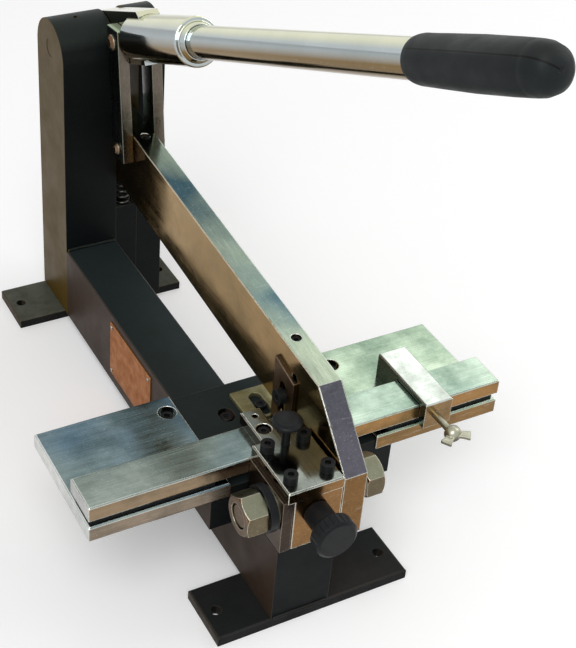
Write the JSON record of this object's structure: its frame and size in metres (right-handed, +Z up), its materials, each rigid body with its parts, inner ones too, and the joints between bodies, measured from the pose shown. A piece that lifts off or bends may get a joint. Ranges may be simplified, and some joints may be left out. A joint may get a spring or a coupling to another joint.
{
  "type": "corner notcher",
  "caption": "Bench corner notcher: die table on a narrow black beam, shear arm driven through links by a long chrome hand lever with a rubber grip.",
  "frame": {"origin": "centre of the four bench bolt holes, on the underside of the feet", "axes": "+Z up; -Y towards the table end and the end of the handle; +X to the user's right when facing the table end"},
  "size_m": [0.355, 0.6151, 0.5427],
  "materials": {
    "foot_paint": "satin",
    "frame_paint": "gloss",
    "plate_copper": "satin",
    "bright_steel": "polished",
    "black_steel": "satin",
    "table_steel": "polished",
    "fence_steel": "polished",
    "zinc": "satin",
    "spring_steel": "satin",
    "brass": "satin",
    "black_plastic": "gloss",
    "arm_steel": "ground",
    "chrome": "polished",
    "rubber": "matte"
  },
  "bodies": {
    "frame_body": {"front_foot": "foot_paint", "rear_foot": "foot_paint", "beam": "frame_paint", "column_left_cheek": "frame_paint", "column_right_cheek": "frame_paint", "column_filler": "frame_paint", "name_plate": "plate_copper", "name_plate_rivets": "bright_steel", "die_block": "frame_paint", "die_block_screw": "black_steel", "left_table_plate": "table_steel", "right_table_plate": "table_steel", "table_screws": "black_steel", "left_fence": "fence_steel", "right_fence": "fence_steel", "left_fence_spacer": "black_steel", "right_fence_spacer": "black_steel", "head_side_plate": "bright_steel", "head_block": "frame_paint", "head_top_plate": "fence_steel", "head_cap_screws": "black_steel", "finger_screw": "black_steel", "pivot_bolt": "zinc", "pivot_nuts": "zinc", "pivot_washer_thick": "black_steel", "pivot_washer_thin": "zinc", "pivot_spacer_washers": "zinc", "lever_pivot_pin": "frame_paint", "gauge_screw": "black_steel", "return_spring": "spring_steel"},
    "lever_body": {"lever_bar": "frame_paint", "handle_socket": "chrome", "handle_tube": "chrome", "grip": "rubber"},
    "link_body": {"link_left": "frame_paint", "link_right": "frame_paint", "upper_link_pin": "zinc", "lower_link_pin": "zinc"},
    "arm_body": {"press_arm": "arm_steel", "arm_set_screws": "black_steel", "blade": "bright_steel", "blade_screw": "black_steel"},
    "gauge_body": {"gauge_plate": "brass"},
    "stop_body": {"stop_slider": "black_steel"},
    "wing_body": {"wing_screw": "zinc"},
    "clamp_body": {"clamp_knob": "black_plastic"},
    "adjust_body": {"adjusting_knob": "black_plastic"}
  },
  "joints": [
    {"name": "lever", "type": "hinge", "parent": "frame_body", "child": "lever_body", "pos_m": [0.022, 0.21, 0.28], "axis": [1, 0, 0], "range_deg": [0, 30]},
    {"name": "links", "type": "hinge", "parent": "lever_body", "child": "link_body", "pos_m": [0.022, 0.1655, 0.299], "axis": [1, 0, 0], "range_deg": [-24.3, 0]},
    {"name": "arm", "type": "hinge", "parent": "frame_body", "child": "arm_body", "pos_m": [0.022, -0.2245, 0.1163], "axis": [1, 0, 0], "range_deg": [-3.87, 0], "deforming": ["return_spring"]},
    {"name": "gauge", "type": "slide", "parent": "frame_body", "child": "gauge_body", "axis": [0, 1, 0], "range_m": [-0.001, 0.006]},
    {"name": "stop", "type": "slide", "parent": "frame_body", "child": "stop_body", "axis": [1, 0, 0], "range_m": [-0.055, 0.048]},
    {"name": "wing", "type": "hinge", "parent": "stop_body", "child": "wing_body", "pos_m": [0.1225, -0.197, 0.1255], "axis": [0, 1, 0], "continuous": true},
    {"name": "clamp", "type": "hinge", "parent": "frame_body", "child": "clamp_body", "pos_m": [-0.012, -0.194, 0.1425], "axis": [0, 0, 1], "continuous": true},
    {"name": "adjust", "type": "hinge", "parent": "frame_body", "child": "adjust_body", "pos_m": [-0.0105, -0.242, 0.115], "axis": [0, 1, 0], "continuous": true}
  ],
  "couplings": [
    {"joint": "arm", "follows": "lever", "ratio": -0.1288},
    {"joint": "links", "follows": "lever", "ratio": -0.807}
  ]
}
